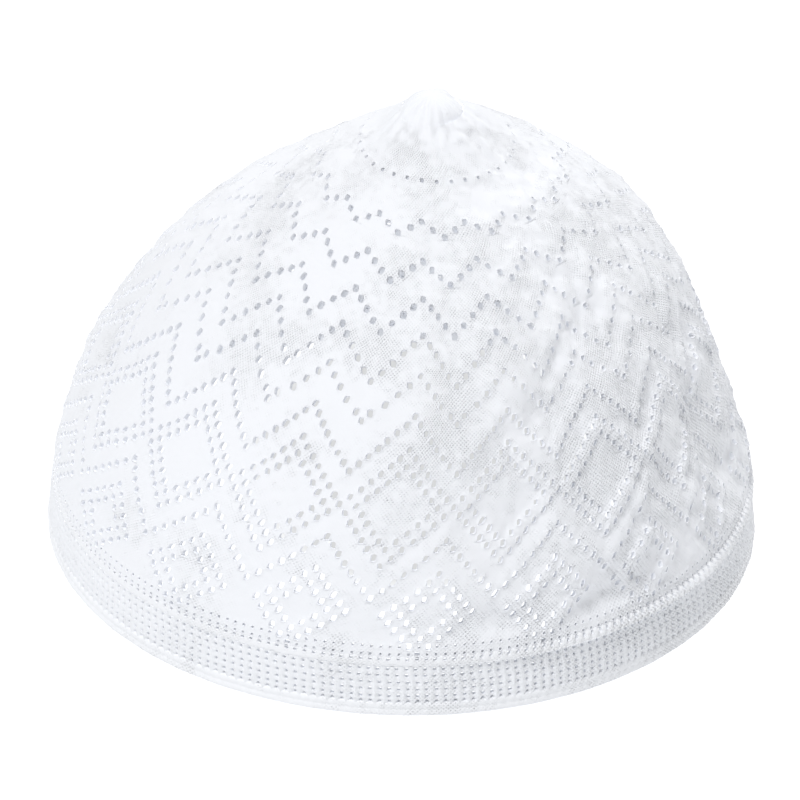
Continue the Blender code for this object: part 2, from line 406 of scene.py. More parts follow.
class ClothMesh:
    """Gathers the points and faces of one piece, and writes them to a mesh as whole arrays."""

    SHARP = 55.0  # degrees between two faces from which the edge stays sharp

    def __init__(self) -> None:
        """Start with nothing."""
        self._points: list[Array] = []
        self._stitches: list[Array] = []
        self._owners: list[Array] = []
        self._faces: dict[int, list[Array]] = {3: [], 4: []}
        self._count = 0

    def add_grid(self, points: Array, stitches: Array, closes: bool) -> Array:
        """Add a grid of points.

        Args:
            points: array of rows by columns by 3.
            stitches: array of rows by columns by 2, the place counted in stitches.
            closes: whether the last column is the first one again.

        Returns:
            The points' numbers, rows by columns.
        """
        rows, columns = points.shape[:2]
        numbers = self._count + np.arange(rows * columns).reshape(rows, columns)
        owners = numbers.copy()
        if closes:
            owners[:, -1] = numbers[:, 0]
        self._points.append(points.reshape(-1, 3))
        self._stitches.append(stitches.reshape(-1, 2))
        self._owners.append(owners.ravel())
        self._count += rows * columns
        return numbers

    def add_faces(self, *corners: Array) -> None:
        """Add faces by one array of point numbers for each corner, counter-clockwise seen from outside."""
        self._faces[len(corners)].append(np.stack([corner.ravel() for corner in corners], axis=1))

    def add_strip(self, first: Array, second: Array) -> None:
        """Join a row of points, which runs on with the second one on its left, to that one by four-sided faces."""
        self.add_faces(first[..., :-1], first[..., 1:], second[..., 1:], second[..., :-1])

    def build(self, name: str, material: bpy.types.Material) -> bpy.types.Object:
        """Make the object.

        Args:
            name: the piece's name.
            material: its finish.

        Returns:
            The object, smooth but for its cut edges, linked to the scene.
        """
        points = np.concatenate(self._points)
        stitches = np.concatenate(self._stitches)
        owners = np.concatenate(self._owners)
        quads = np.concatenate([np.empty((0, 4), int), *self._faces[4]])
        triangles = np.concatenate([np.empty((0, 3), int), *self._faces[3]])
        corners = np.concatenate([quads.ravel(), triangles.ravel()])
        used, numbers = np.unique(owners[corners], return_inverse=True)
        mesh = bpy.data.meshes.new(name)
        mesh.vertices.add(len(used))
        mesh.vertices.foreach_set("co", points[used].astype(np.float32).ravel())
        mesh.loops.add(len(corners))
        mesh.loops.foreach_set("vertex_index", numbers.ravel().astype(np.int32))
        mesh.polygons.add(len(quads) + len(triangles))
        starts = np.concatenate([4 * np.arange(len(quads)), quads.size + 3 * np.arange(len(triangles))])
        mesh.polygons.foreach_set("loop_start", starts.astype(np.int32))
        mesh.update(calc_edges=True)
        layer = mesh.uv_layers.new(name="stitches")
        layer.data.foreach_set("uv", stitches[corners].astype(np.float32).ravel())
        mesh.validate()
        mesh.shade_smooth()
        mesh.set_sharp_from_angle(angle=math.radians(self.SHARP))
        mesh.materials.append(material)
        piece = bpy.data.objects.new(name, mesh)
        bpy.context.scene.collection.objects.link(piece)
        LOG.info("%s: %d triangles", name, 2 * len(quads) + len(triangles))
        return piece


@dataclass(frozen=True)
class Eyelet:
    """The usual hole of one kind of cloth, and the cloth round it."""

    half_width: float = 0.00058
    half_height: float = 0.00083
    squareness: float = 3.0  # 2 is an ellipse
    lip: float = 0.00014  # how far the yarn round it stands up
    thickness: float = 0.0013
    unevenness: float = 0.00005  # how far each point wanders
    lip_width: float = 0.0002
    lip_height: float = 0.00015
    lip_added: float = 1.2  # how much more the lip stands up on the creased right side
    waist: float = 0.45  # where the hole is narrowest, as a share of the thickness
    size_varies: float = 0.08
    place_varies: tuple[float, float] = (0.025, 0.015)  # round the cap and up it, in cells
    slant_varies: float = 0.12


@dataclass(frozen=True)
class Opening:
    """How far the holes of the band or the ridge are drawn open round the cap."""

    least: float
    usual: float
    added: float  # at most, in front
    turn: float  # from the widest place to the right, in radians

    def at(self, azimuth: Array) -> Array:
        """Read it at directions in radians, as shares of the usual size: a cosine that is cut off below."""
        return np.maximum(self.least, self.usual + self.added * np.cos(azimuth + self.turn))


@dataclass(frozen=True)
class CellPlan:
    """One zone of cloth."""

    columns: int  # cells in one repeat
    edges: Array  # runs that bound its courses, rising
    holes: Array  # courses by columns: size of the hole as a share of the usual one, 0 for none
    seed: int
    stitches: int = 28  # knitted stitches in one repeat


@dataclass
class CellNet:
    """Builds a closed ring of cloth from a plan of plain and pierced cells."""

    form: CapForm
    plan: CellPlan
    eyelet: Eyelet

    SIDE = 3  # outer faces along the side of a cell
    HOLE_SHARES = (0.36, 0.42)  # the most of a cell's width and height that half a hole takes
    LIP_SHARES = (0.47, 0.485)  # the same for half a hole with its lip

    def __post_init__(self) -> None:
        """Repeat the plan round the cap, and start its random numbers."""
        self.courses = len(self.plan.edges) - 1
        self.round = self.plan.columns * REPEATS
        self.holes = np.tile(self.plan.holes, (1, REPEATS))
        self.random = np.random.default_rng(self.plan.seed)

    def offset(self, column: Array, course: Array) -> Array:
        """Find how far the cloth stands off the smooth surface, at places counted in cells."""
        return self.form.relief((column - 0.5) / self.plan.columns, self._run(course))

    def shift(self, course: Array) -> Array:
        """Find how far the columns are moved round the cap, in cells: here not at all."""
        return np.zeros_like(course)

    def spread(self, azimuth: Array) -> Array:
        """Find how far the holes are drawn open, as shares of their size: less on the creased right side."""
        return 1.0 - 0.3 * self.form.right_side(azimuth)

    def _run(self, course: Array) -> Array:
        """Turn places counted in courses into runs up the wall."""
        return np.interp(course, np.arange(self.courses + 1), self.plan.edges)

    def _place(self, column: Array, course: Array, rise: Array | float) -> Array:
        """Place points of the cloth, counted in cells, at a rise above its outer face."""
        phase = (column - 0.5 + self.shift(course)) / self.plan.columns
        return self.form.lay(phase, self._run(course), self.offset(column, course) + rise)

    def _stitches(self, column: Array, course: Array) -> Array:
        """Count places in stitches instead of cells."""
        return np.stack([column * self.plan.stitches / self.plan.columns, self._run(course) / STITCH], axis=-1)

    def _grid(self, cloth: ClothMesh, side: int, rise: float, wander: float) -> Array:
        """Add one face of the cloth as a grid.

        Args:
            cloth: the mesh to add to.
            side: steps along the side of a cell.
            rise: distance above the outer face.
            wander: how far each point is moved at random, but on the zone's own edges.

        Returns:
            The points' numbers.
        """
        courses = np.arange(self.courses * side + 1) / side
        columns = np.arange(self.round * side + 1) / side
        column, course = np.meshgrid(columns, courses)
        points = self._place(column, course, rise)
        points[1:-1] += self.random.normal(scale=wander, size=points[1:-1].shape)
        return cloth.add_grid(points, self._stitches(column, course), closes=True)

    def build(self, name: str, material: bpy.types.Material) -> bpy.types.Object:
        """Build the whole ring.

        Args:
            name: the piece's name.
            material: its finish.

        Returns:
            The object: an outer face, a plainer inner face, a rounded wall in each hole, and two cut edges.
        """
        cloth = ClothMesh()
        side = self.SIDE
        outer = self._grid(cloth, side, 0.0, self.eyelet.unevenness)
        inner = self._grid(cloth, 1, -self.eyelet.thickness, 0.0)
        course, column = np.nonzero(self.holes == 0.0)
        for step_up, step_along in np.ndindex(side, side):
            up, along = course * side + step_up, column * side + step_along
            cloth.add_faces(outer[up, along], outer[up, along + 1], outer[up + 1, along + 1], outer[up + 1, along])
        cloth.add_faces(
            inner[course, column], inner[course + 1, column], inner[course + 1, column + 1], inner[course, column + 1]
        )
        self._pierce(cloth, outer, inner)
        self._close_edge(cloth, outer[0, ::-1], inner[0, ::-1])
        self._close_edge(cloth, outer[-1], inner[-1])
        return cloth.build(name, material)

    def _pierce(self, cloth: ClothMesh, outer: Array, inner: Array) -> None:
        """Build the pierced cells.

        Args:
            cloth: the mesh to add to.
            outer: point numbers of the outer face.
            inner: point numbers of the inner face.
        """
        side = self.SIDE
        course, column = np.nonzero(self.holes)
        if not len(course):
            return
        steps = np.arange(side)
        along = np.concatenate([steps, np.full(side, side), side - steps, np.zeros(side, int)])
        up = np.concatenate([np.zeros(side, int), steps, np.full(side, side), side - steps])
        border = outer[course[:, None] * side + up, column[:, None] * side + along]
        rings = [border, *self._hole_rings(cloth, course, column, along, up)]
        closed = [np.concatenate([ring, ring[:, :1]], axis=1) for ring in rings]
        for first, second in zip(closed, closed[1:]):
            cloth.add_strip(first, second)
        last = closed[-1]
        corners = [inner[course + up, column + along] for up, along in ((0, 0), (0, 1), (1, 1), (1, 0))]
        for number in range(4):
            here, following = corners[number], corners[(number + 1) % 4]
            ring = last[:, number * side : number * side + side + 1]
            cloth.add_faces(ring[:, 1], ring[:, 2], following, here)
            cloth.add_faces(ring[:, 0], ring[:, 1], here)
            cloth.add_faces(ring[:, 2], ring[:, 3], following)

    def _hole_rings(
        self, cloth: ClothMesh, course: Array, column: Array, along: Array, up: Array
    ) -> list[Array]:
        """Add the rings of points that round off each hole.

        Args:
            cloth: the mesh to add to.
            course: courses of the pierced cells.
            column: columns of the pierced cells.
            along: place of each border point along its cell.
            up: place of each border point up its cell.

        Returns:
            Point numbers of the lip, the narrowest place and the inner lip. Each ring is a slanted superellipse.
        """
        eyelet, random, count = self.eyelet, self.random, len(course)
        cell_height = np.diff(self.plan.edges)[course]
        run = self._run(course + 0.5)
        azimuth = self.form.azimuth(self.form.surface(column / self.plan.columns, run))
        size = self.holes[course, column] * random.normal(1.0, eyelet.size_varies, count) * self.spread(azimuth)
        cell_width = self.form.repeat_width(run) / self.plan.columns
        half_width = np.minimum(eyelet.half_width * size, self.HOLE_SHARES[0] * cell_width)
        half_height = np.minimum(eyelet.half_height * size, self.HOLE_SHARES[1] * cell_height)
        lip_width = np.minimum(half_width + eyelet.lip_width, self.LIP_SHARES[0] * cell_width)
        lip_height = np.minimum(half_height + eyelet.lip_height, self.LIP_SHARES[1] * cell_height)
        middle_column = column + 0.5 + random.normal(0.0, eyelet.place_varies[0], count)
        middle_course = course + 0.5 + random.normal(0.0, eyelet.place_varies[1], count)
        angle = np.arctan2(up - 0.5 * self.SIDE, along - 0.5 * self.SIDE)
        power = 2.0 / eyelet.squareness
        unit_x, unit_y = (np.sign(part) * np.abs(part) ** power for part in (np.cos(angle), np.sin(angle)))
        slant = random.normal(0.0, eyelet.slant_varies, count)
        lip = eyelet.lip * (1.0 + eyelet.lip_added * self.form.right_side(azimuth))[:, None]
        rings = []
        for wide, high, rise in (
            (lip_width, lip_height, lip),
            (half_width, half_height, -eyelet.waist * eyelet.thickness),
            (lip_width, lip_height, -eyelet.thickness),
        ):
            across = wide[:, None] * unit_x + slant[:, None] * high[:, None] * unit_y
            reach = self.LIP_SHARES[0]
            ring_column = middle_column[:, None] + np.clip(across / cell_width[:, None], -reach, reach)
            ring_course = middle_course[:, None] + (high / cell_height)[:, None] * unit_y
            points = self._place(ring_column, ring_course, rise)
            rings.append(cloth.add_grid(points, self._stitches(ring_column, ring_course), closes=False))
        return rings

    def _close_edge(self, cloth: ClothMesh, outer: Array, inner: Array) -> None:
        """Close a cut edge of the cloth.

        Args:
            cloth: the mesh to add to.
            outer: point numbers along the outer face's edge.
            inner: point numbers along the inner face's edge.
        """
        side = self.SIDE
        near, far = inner[:-1], inner[1:]
        first, second, third, fourth = (outer[step : len(outer) - side + step : side] for step in range(side + 1))
        cloth.add_faces(second, third, far, near)
        cloth.add_faces(first, second, near)
        cloth.add_faces(third, fourth, far)


class LaceChart:
    """The lace pattern, charted by its lines. Columns are counted from a top of the zigzags."""

    COURSE = 0.002059
    ROW_ZERO = 0.03975  # run at the middle of the course that holds the big diamonds' lowest eyelets
    LOWEST, HIGHEST = -11, 18  # courses of the diamonds' zone, counted up from there
    BIG_MIDDLE, SMALL_MIDDLE = 7, -6  # courses of the diamonds' middles
    SPLIT = 3  # the course at which the foot ends and the big diamonds' piece starts
    DOT = 0.33  # size of the sparse cloth's holes at the foot

    @classmethod
    def diamonds(cls) -> Array:
        """Chart the diamonds, the single zigzag between them and the first zigzag over them.

        Returns:
            Hole sizes, courses by columns, from the lowest course up.
        """
        course = np.arange(cls.LOWEST, cls.HIGHEST + 1)[:, None]
        column = np.arange(COLUMNS)[None, :]
        from_top = np.minimum(column, COLUMNS - column)
        from_bottom = COLUMNS // 2 - from_top
        big = from_top + np.abs(course - cls.BIG_MIDDLE)
        small = from_bottom + np.abs(course - cls.SMALL_MIDDLE)
        single = course + 4 == from_top
        first_zigzag = course == cls.HIGHEST - from_top
        second_zigzag = course == cls.HIGHEST - 1 + from_bottom
        open_cells = np.isin(big, (7, 5)) | np.isin(small, (5, 3)) | single | first_zigzag | second_zigzag
        dots = (course <= cls.LOWEST + 1) & ~open_cells
        return np.where(open_cells, 1.0, np.where(dots, cls.DOT, 0.0))

    @classmethod
    def plan(cls, first: int, last: int, seed: int) -> CellPlan:
        """Plan the diamonds' zone from a first to a last course: each one's middle lies its number of courses up."""
        edges = cls.ROW_ZERO + cls.COURSE * (np.arange(first, last + 2) - 0.5)
        return CellPlan(COLUMNS, edges, cls.diamonds()[first - cls.LOWEST : last + 1 - cls.LOWEST], seed)

    @staticmethod
    def zigzag_plan(columns: int, edges: tuple[float, ...], bottoms: tuple[int, ...], stitches: int) -> CellPlan:
        """Plan a zone of zigzags.

        Args:
            columns: cells in one repeat, an even number.
            edges: runs that bound its courses, in millimetres.
            bottoms: for each zigzag, the course of its bottoms, counted from the zone's foot.
            stitches: knitted stitches in one repeat.

        Returns:
            The plan. A line climbs one course in each column, from the middle of the repeat out, and what lies
            under or over the zone is left out.
        """
        courses = len(edges) - 1
        holes = np.zeros((courses, columns))
        column = np.arange(columns)
        from_bottom = np.abs(column - columns // 2)
        for bottom in bottoms:
            course = bottom + from_bottom
            shown = (course >= 0) & (course < courses)
            holes[course[shown], column[shown]] = 1.0
        return CellPlan(columns, np.array(edges) / 1000.0, holes, 10 + columns, stitches)


class Slot(Enum):
    """The cap's material slots."""

    LACE = "lace_knit"
    RIB = "rib_knit"
    EDGE = "edge_knit"


@dataclass(frozen=True)
class YarnFinish:
    """How one kind of knitting looks."""

    slot: Slot
    color: tuple[float, float, float]
    roughness: float
    sheen: float
    stitch_relief: float  # depth of the stitches' bump
    stitch_shade: float  # how much painted shade darkens the gaps between the stitches
    fluff_relief: float  # depth of the yarn's fluff


LACE_YARN = YarnFinish(Slot.LACE, (0.872, 0.887, 0.925), 0.9, 0.25, 0.00014, 0.13, 0.00018)
RIB_YARN = YarnFinish(Slot.RIB, (0.86, 0.875, 0.91), 0.9, 0.25, 0.00012, 0.12, 0.00010)
EDGE_YARN = YarnFinish(Slot.EDGE, (0.88, 0.893, 0.925), 0.9, 0.25, 0.00014, 0.10, 0.00010)


class YarnMaterial:
    """Builds a matt yarn with the relief of knitted stitches and painted shade in the gaps between them."""

    # painted shade: the dark grey that the yarn's colour is mixed towards in the gaps between the stitches
    GAP_COLOR = (0.25, 0.26, 0.28, 1.0)
    PATCHES, SPECKS, FLUFF = 45.0, 420.0, 800.0  # the noises' fineness, in lumps to a metre
    PATCH_MIDDLE, PATCH_CONTRAST, SPECK_CONTRAST = 0.41, 4.0, 2.5
    LOOSER_RIGHT, TIGHTER_UP, TIGHT_FROM = 7.0, 25.0, 0.104  # looseness and painted shade gained a metre to the right, lost a metre up, and the height from which they are lost
    LEAST_LOOSE, MOST_LOOSE = 0.05, 1.2

    def __init__(self, finish: YarnFinish) -> None:
        """Make the material.

        Args:
            finish: its looks.
        """
        self.finish = finish
        self.material = bpy.data.materials.new(finish.slot.value)
        self.material.use_nodes = True
        self.tree = self.material.node_tree
        surface = self.tree.nodes["Principled BSDF"]
        surface.inputs["Roughness"].default_value = finish.roughness
        surface.inputs["Specular IOR Level"].default_value = 0.2
        surface.inputs["Sheen Weight"].default_value = finish.sheen
        surface.inputs["Sheen Roughness"].default_value = 0.6
        place = self.tree.nodes.new("ShaderNodeUVMap")
        place.uv_map = "stitches"
        split = self.tree.nodes.new("ShaderNodeSeparateXYZ")
        self.tree.links.new(place.outputs["UV"], split.inputs[0])
        cosines = [self._math("COSINE", self._math("MULTIPLY", way, math.tau)) for way in split.outputs[:2]]
        self.weave = self._math("MULTIPLY", *cosines)  # its gaps lie like the joints of bricks
        self.loose = self._looseness()
        self.gaps = self._gaps()
        # the base colour carries painted shade in the stitches' gaps
        self.tree.links.new(self._shaded(), surface.inputs["Base Color"])
        self.tree.links.new(self._relief(), surface.inputs["Normal"])

    def _math(self, operation: str, first: object, second: object = None) -> bpy.types.NodeSocket:
        """Add one sum.

        Args:
            operation: the Math node's operation.
            first: a socket or a number.
            second: a socket, a number or nothing.

        Returns:
            The result's socket.
        """
        node = self.tree.nodes.new("ShaderNodeMath")
        node.operation = operation
        for socket, value in zip(node.inputs, (first, second)):
            if isinstance(value, bpy.types.NodeSocket):
                self.tree.links.new(value, socket)
            elif value is not None:
                socket.default_value = value
        return node.outputs[0]

    def _noise(self, scale: float) -> bpy.types.NodeSocket:
        """Add a noise over the object.

        Args:
            scale: its fineness, in lumps to a metre.

        Returns:
            Its value's socket.
        """
        where = self.tree.nodes.new("ShaderNodeTexCoord")
        noise = self.tree.nodes.new("ShaderNodeTexNoise")
        noise.inputs["Scale"].default_value = scale
        noise.inputs["Detail"].default_value = 1.0
        self.tree.links.new(where.outputs["Object"], noise.inputs["Vector"])
        return noise.outputs["Fac"]

    def _gaps(self) -> bpy.types.NodeSocket:
        """Find the gaps between the stitches, where shade is painted and the bump dips: the square of the weave where
        it is negative, times the looseness and shade amount.
        """
        pit = self._math("MAXIMUM", self._math("MULTIPLY", self.weave, -1.0), 0.0)
        return self._math("MULTIPLY", self._math("MULTIPLY", pit, pit), self.loose)

    def _looseness(self) -> bpy.types.NodeSocket:
        """Find how loosely the cloth is knitted, which sets both the stitches' bump and the painted shade in their
        gaps.

        Returns:
            A noise in patches and a finer one, more to the right, which paints more shade on that side, and less near
            the tip, kept between two limits.
        """
        where = self.tree.nodes.new("ShaderNodeTexCoord")
        place = self.tree.nodes.new("ShaderNodeSeparateXYZ")
        self.tree.links.new(where.outputs["Object"], place.inputs[0])
        patches = self._math("SUBTRACT", self._noise(self.PATCHES), self.PATCH_MIDDLE)
        patches = self._math("MULTIPLY", patches, self.PATCH_CONTRAST)
        loose = self._math("ADD", patches, self._math("MULTIPLY", place.outputs["X"], self.LOOSER_RIGHT))
        specks = self._math("MULTIPLY", self._math("SUBTRACT", self._noise(self.SPECKS), 0.5), self.SPECK_CONTRAST)
        loose = self._math("ADD", loose, specks)
        near_tip = self._math("MAXIMUM", self._math("SUBTRACT", place.outputs["Z"], self.TIGHT_FROM), 0.0)
        loose = self._math("SUBTRACT", loose, self._math("MULTIPLY", near_tip, self.TIGHTER_UP))
        return self._math("MINIMUM", self._math("MAXIMUM", loose, self.LEAST_LOOSE), self.MOST_LOOSE)

    def _shaded(self) -> bpy.types.NodeSocket:
        """Paint shade into the yarn's colour in the gaps between the stitches.

        Returns:
            The colour's socket.
        """
        mix = self.tree.nodes.new("ShaderNodeMix")
        mix.data_type = "RGBA"
        self.tree.links.new(self._math("MULTIPLY", self.gaps, self.finish.stitch_shade), mix.inputs["Factor"])
        colors = [socket for socket in mix.inputs if socket.type == "RGBA"]
        colors[0].default_value = (*self.finish.color, 1.0)
        colors[1].default_value = self.GAP_COLOR
        return next(socket for socket in mix.outputs if socket.type == "RGBA")

    def _relief(self) -> bpy.types.NodeSocket:
        """Add the bump of the stitches and the fluff.

        Returns:
            The bumped normal, from the weave less the gaps.
        """
        nodes, links = self.tree.nodes, self.tree.links
        stitches = nodes.new("ShaderNodeBump")
        stitches.inputs["Distance"].default_value = self.finish.stitch_relief
        yarn = self._math("MULTIPLY", self._math("MULTIPLY", self.weave, 0.3), self.loose)
        links.new(self._math("SUBTRACT", yarn, self.gaps), stitches.inputs["Height"])
        fluff = nodes.new("ShaderNodeBump")
        fluff.inputs["Distance"].default_value = self.finish.fluff_relief
        links.new(self._math("MULTIPLY", self._noise(self.FLUFF), self.loose), fluff.inputs["Height"])
        links.new(stitches.outputs["Normal"], fluff.inputs["Normal"])
        return fluff.outputs["Normal"]


def settle(piece: bpy.types.Object, slot: Slot, *nodes: str) -> bpy.types.Object:
    """Tie a finished piece to the frame.

    Args:
        piece: the piece, in place.
        slot: its material slot; not used.
        nodes: the frame's solids that it stands for.

    Returns:
        The piece.
    """
    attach(piece, "root")
    if nodes:
        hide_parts(*nodes)
    return piece


@dataclass(frozen=True)
class LaceCrown:
    """The lace dome: the foot with the small diamonds, the big diamonds, the zigzags and the gathered top.

    The edges are the runs that bound the courses of a zone, in millimetres.
    """

    form: CapForm
    eyelet: Eyelet = Eyelet()
    wide_edges: tuple[float, ...] = (77.84, 80.7, 83.2, 85.6, 88.1, 91.0, 93.4, 95.7, 98.0)
    upper_edges: tuple[float, ...] = (98.0, 100.9, 103.1, 105.3, 107.6, 109.3)
    high_edges: tuple[float, ...] = (109.3, 111.3, 113.35, 115.4, 117.4, 119.8, 122.2)
    top_edges: tuple[float, ...] = (122.2, 124.0, 125.8, 127.6, 129.9, 132.2, 134.5, 136.8, 138.9)
    gather_edges: tuple[float, ...] = (138.9, 141.2, 143.5, 145.8, 148.1, 150.4, 152.9)

    def plans(self) -> dict[str, CellPlan]:
        """Plan every zone from the foot up.

        Returns:
            The plans by the pieces' names.
        """
        chart = LaceChart
        return {
            "lace_foot": chart.plan(chart.LOWEST, chart.SPLIT - 1, 1),
            "lace_diamonds": chart.plan(chart.SPLIT, chart.HIGHEST, 2),
            "lace_zigzags": chart.zigzag_plan(10, self.wide_edges, (-2, 2, 7), 26),
            "lace_zigzags_upper": chart.zigzag_plan(8, self.upper_edges, (-1,), 22),
            "lace_zigzags_high": chart.zigzag_plan(6, self.high_edges, (0,), 18),
            "lace_zigzags_top": self._top_rows(),
            "crown_gathers": CellPlan(3, np.array(self.gather_edges) / 1000.0, np.zeros((6, 3)), 7, 9),
        }

    def _top_rows(self) -> CellPlan:
        """Plan the last small zigzag and the sparse row over it.

        Returns:
            The plan.
        """
        plan = LaceChart.zigzag_plan(4, self.top_edges, (0,), 13)
        plan.holes[-1] = (0.5, 0.0, 0.5, 0.0)
        return plan

    def build(self, material: bpy.types.Material) -> None:
        """Build the zones in the lace's finish."""
        for name, plan in self.plans().items():
            settle(CellNet(self.form, plan, self.eyelet).build(name, material), Slot.LACE, "crown")


@dataclass
class RibbedBand(CellNet):
    """The band: upright ribs with a ladder of small holes between them.

    The lowest course holds the slots of the stitches that join the hem.
    """

    plan: CellPlan = CellPlan(
        COLUMNS, np.array([0.0034, 0.0047, 0.0066, 0.0084, 0.0103, 0.0122, 0.01385]), np.ones((6, COLUMNS)), 21
    )
    eyelet: Eyelet = Eyelet(0.00034, 0.00032, 2.4, 0.00002, 0.0014, 0.00004)
    opening: Opening = Opening(0.33, 0.45, 0.5, 1.5)
    inset: float = 0.0004
    rib_height: float = 0.00028
    foot_inset: float = 0.0002
    foot_half: float = 0.8  # in courses
    jog: float = 0.2  # how far the ribs step aside under the two top courses, in cells
    jog_course: float = 3.5

    def offset(self, column: Array, course: Array) -> Array:
        """Raise a rib at each side of a cell, by a cosine, and draw the foot in, by a bell curve."""
        ribs = -self.inset + self.rib_height * np.cos(math.tau * column)
        return ribs - self.foot_inset * bell(course / self.foot_half)

    def spread(self, azimuth: Array) -> Array:
        """Find how far the holes are drawn open, as shares of their size: most in front."""
        return self.opening.at(azimuth)

    def shift(self, course: Array) -> Array:
        """Jog the ribs a little under the two top courses, in cells."""
        return -self.jog * smooth_step(course - self.jog_course)


@dataclass
class PicotRidge(CellNet):
    """The raised welt over the band and the row of upright loops on it."""

    plan: CellPlan = CellPlan(
        COLUMNS, np.array([0.01375, 0.0148, 0.01700]), np.array([np.zeros(COLUMNS), np.ones(COLUMNS)]), 22
    )
    eyelet: Eyelet = Eyelet(0.00036, 0.00046, 2.4, 0.00012, 0.0014, 0.00004)
    inset: float = 0.0005
    heights: tuple[float, ...] = (0.0, 0.33, 0.67, 1.0, 1.33, 1.67, 2.0)  # of its section, in courses
    outwards: tuple[float, ...] = (-0.0005, 0.0005, 0.0010, 0.00085, 0.0007, 0.0004, -0.0005)
    proud: Swell = Swell(0.10, 1.10)  # how much of its section shows
    loop_height: Swell = Swell(0.00008, 0.00044)
    loop_middle: float = 1.4  # in courses
    loop_half: float = 0.75
    opening: Opening = Opening(0.5, 0.6, 0.4, 1.2)
    jog: float = 0.2  # how far its foot is moved with the band's top, in cells

    def offset(self, column: Array, course: Array) -> Array:
        """Round the welt and scallop it.

        Args:
            column: place round the cap, in cells.
            course: place up the ridge, in cells.

        Returns:
            Distances outwards: the welt's curve and the loops, a cosine round the cap within a bell curve. Both
            stand out more on the right.
        """
        curve = np.interp(course, self.heights, self.outwards)
        phase = (column - 0.5) / self.plan.columns
        right_side = self.form.right_side(self.form.azimuth(self.form.surface(phase, self._run(course))))
        loops = np.cos(math.tau * column) * bell((course - self.loop_middle) / self.loop_half)
        return self.proud.at(right_side) * (curve + self.inset) - self.inset + self.loop_height.at(right_side) * loops

    def spread(self, azimuth: Array) -> Array:
        """Find how far the holes are drawn open, as shares of their size: most in front."""
        return self.opening.at(azimuth)

    def shift(self, course: Array) -> Array:
        """Bring the columns from the band's jog back to the lace's, in cells."""
        return -self.jog * (1.0 - smooth_step(course / 2.0))


@dataclass(frozen=True)
class StitchRow:
    """A row of stitches that puckers the hem."""

    a_repeat: float  # stitches in one repeat
    start: float  # where the row starts, in radians
    run: float
    half_run: float
    depth: float

    def puckers(self, around: Array, up: Array) -> Array:
        """Find the puckers' shape, from -1 to 1: a cosine round the cap within a bell curve up the hem."""
        return np.cos(math.tau * self.a_repeat * around + self.start) * bell((up - self.run) / self.half_run)


@dataclass(frozen=True)
class RolledHem:
    """Two rolls of cloth, one on the other. The section's corners are in millimetres."""

    form: CapForm
    corners: tuple[tuple[float, float], ...] = (  # outwards and upwards
        (-2.70, 0.60),
        (-2.45, 0.05),
        (-1.40, 0.00),
        (-0.62, 0.10),
        (-0.22, 0.60),
        (-0.20, 1.40),
        (-0.42, 1.95),
        (-0.42, 2.20),
        (-0.25, 2.70),
        (-0.30, 3.35),
        (-0.62, 3.85),
        (-1.40, 4.10),
        (-2.45, 3.85),
        (-2.70, 3.20),
    )
    steps: int = 56  # in one repeat
    face_row: StitchRow = StitchRow(float(COLUMNS), 0.0, 0.0022, 0.0009, 0.00012)
    foot_row: StitchRow = StitchRow(11.0, 0.7, 0.0002, 0.0005, 0.00013)
    foot_lift: float = 0.00010  # how far the stitches of the foot lift it
    sway: float = 0.00005  # how unevenly the face runs round

    def _section(self) -> Array:
        """Draw the hem's section.

        Returns:
            A closed ring of places outwards and upwards. Each corner is cut off twice at a quarter of its sides.
        """
        ring = np.array(self.corners) / 1000.0
        for _ in range(2):
            following = np.roll(ring, -1, axis=0)
            ring = np.stack([0.75 * ring + 0.25 * following, 0.25 * ring + 0.75 * following], axis=1).reshape(-1, 2)
        return np.concatenate([ring, ring[:1]])

    def build(self, material: bpy.types.Material) -> None:
        """Build the hem: its face is puckered by one stitch to a rib, and its foot by fewer and longer ones.

        Args:
            material: the edge's finish.
        """
        cloth = ClothMesh()
        section = self._section()
        phase = np.arange(self.steps * REPEATS + 1) / self.steps
        around, out = np.meshgrid(phase, section[:, 0])
        up = np.broadcast_to(section[:, 1:], around.shape)
        face = smooth_step((out + 0.0012) / 0.0006)
        stitches, scallops = (row.puckers(around, up) for row in (self.face_row, self.foot_row))
        slow = np.sin(math.tau * 1.7 * around) + np.sin(math.tau * (48 / REPEATS) * around + 1.0)
        rows = self.face_row.depth * stitches + self.foot_row.depth * scallops
        out = out + face * (rows + self.sway * slow)
        run = up + face * self.foot_lift * (1.0 + scallops) * bell(up / 0.0006)
        length = np.concatenate([[0.0], np.cumsum(np.hypot(*np.diff(section, axis=0).T))])
        places = [2.0 * COLUMNS * around, np.broadcast_to(length[:, None] / STITCH, around.shape)]
        numbers = cloth.add_grid(self.form.lay(around, run, out), np.stack(places, axis=-1), closes=True)
        numbers[-1] = numbers[0]
        cloth.add_strip(numbers[:-1], numbers[1:])
        settle(cloth.build("hem_rolls", material), Slot.EDGE, "hem")


